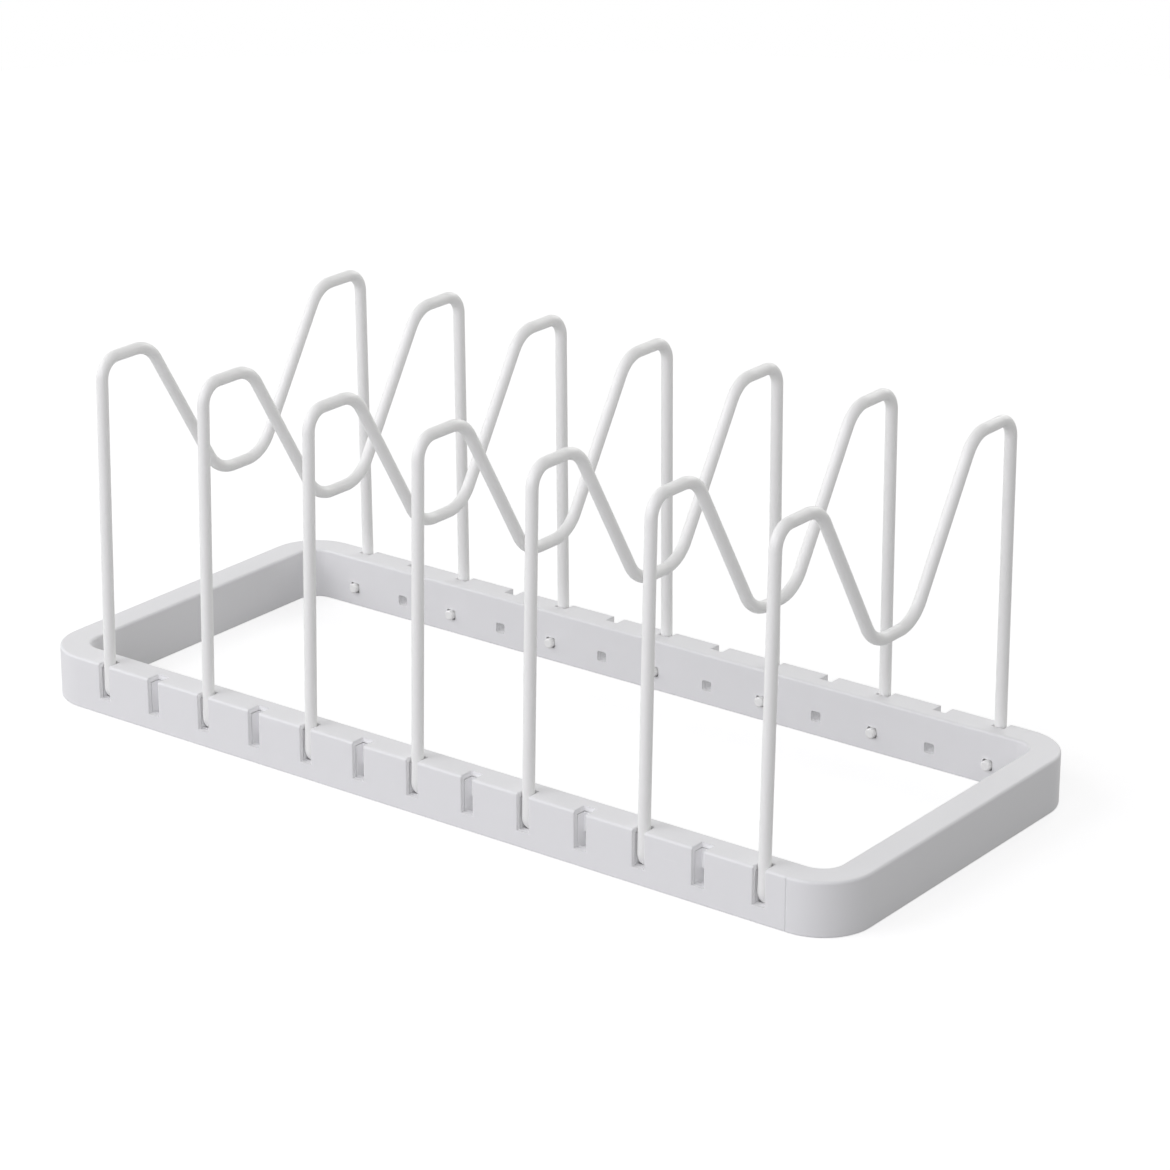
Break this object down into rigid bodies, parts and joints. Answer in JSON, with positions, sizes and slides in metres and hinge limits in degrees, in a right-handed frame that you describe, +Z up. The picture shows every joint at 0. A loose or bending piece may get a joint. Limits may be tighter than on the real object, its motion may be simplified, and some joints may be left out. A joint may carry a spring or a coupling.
{
  "type": "pot lid rack",
  "caption": "Low moulded plastic frame of two nested channel parts, with slotted rails that carry upright coated wire dividers for pot lids and plates.",
  "frame": {"origin": "centre of the closed rack's footprint, on the surface that it stands on", "axes": "+X along the rack's length towards the inner frame's end bar, +Y to its back, +Z up"},
  "size_m": [0.4, 0.174, 0.155],
  "materials": {
    "frame_plastic": "white moulded polypropylene with a very fine satin grain",
    "divider_coating": "white plastic coating on steel wire, smooth and slightly glossy"
  },
  "bodies": {
    "root": {"outer_frame": "frame_plastic", "inner_frame": "frame_plastic", "divider_1": "divider_coating", "divider_2": "divider_coating", "divider_3": "divider_coating", "divider_4": "divider_coating", "divider_5": "divider_coating", "divider_6": "divider_coating", "divider_7": "divider_coating"}
  },
  "joints": []
}
